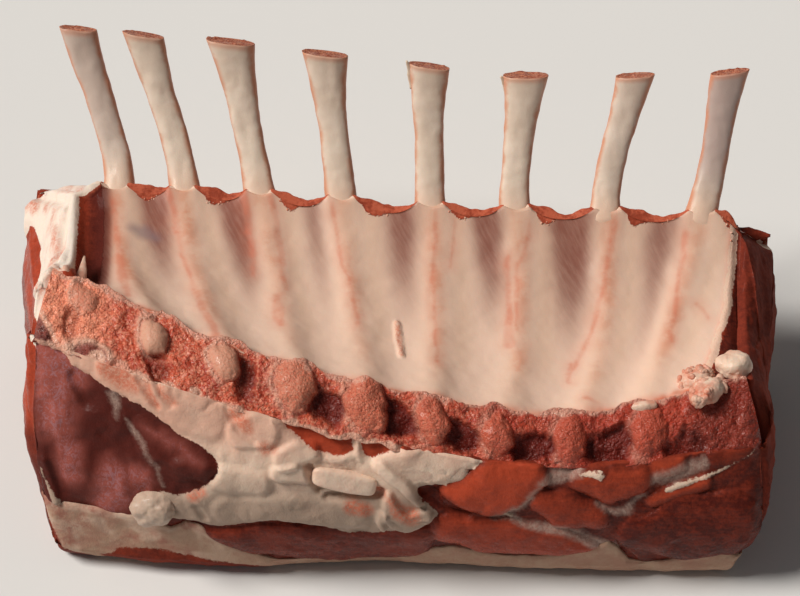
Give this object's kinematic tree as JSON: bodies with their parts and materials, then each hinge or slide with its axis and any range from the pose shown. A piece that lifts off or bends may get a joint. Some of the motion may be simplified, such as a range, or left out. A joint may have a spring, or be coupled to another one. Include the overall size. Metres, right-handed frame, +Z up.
{
  "type": "raw rack of lamb",
  "caption": "Raw frenched rack of lamb lying on its fat cap: bare curved rib bones rise from a hollow pale lining, with a sawn backbone and marbled lean along the front.",
  "frame": {"origin": "middle of the rack's footprint, on the surface that its fat cap rests on", "axes": "+X along the rack from the shoulder end to the loin end, +Y from the sawn backbone towards the bare rib tips, +Z up"},
  "size_m": [0.2274, 0.1351, 0.0965],
  "materials": {
    "lean_meat": "moist, semi-gloss",
    "fat": "moist, satin",
    "rib_bone": "moist, satin",
    "sawn_bone": "rough, moist"
  },
  "bodies": {
    "root": {"meat": "lean_meat", "fat_cap": "fat", "rib_1": "rib_bone", "rib_2": "rib_bone", "rib_3": "rib_bone", "rib_4": "rib_bone", "rib_5": "rib_bone", "rib_6": "rib_bone", "rib_7": "rib_bone", "rib_8": "rib_bone", "chine_1": "sawn_bone", "chine_2": "sawn_bone", "chine_3": "sawn_bone", "chine_4": "sawn_bone", "chine_5": "sawn_bone", "chine_6": "sawn_bone", "chine_7": "sawn_bone", "chine_8": "sawn_bone", "chine_9": "sawn_bone", "chine_10": "sawn_bone", "fat_nodule": "fat", "fat_strip": "fat", "fat_flap": "fat", "fat_clump": "fat", "fat_block": "fat"}
  },
  "joints": []
}
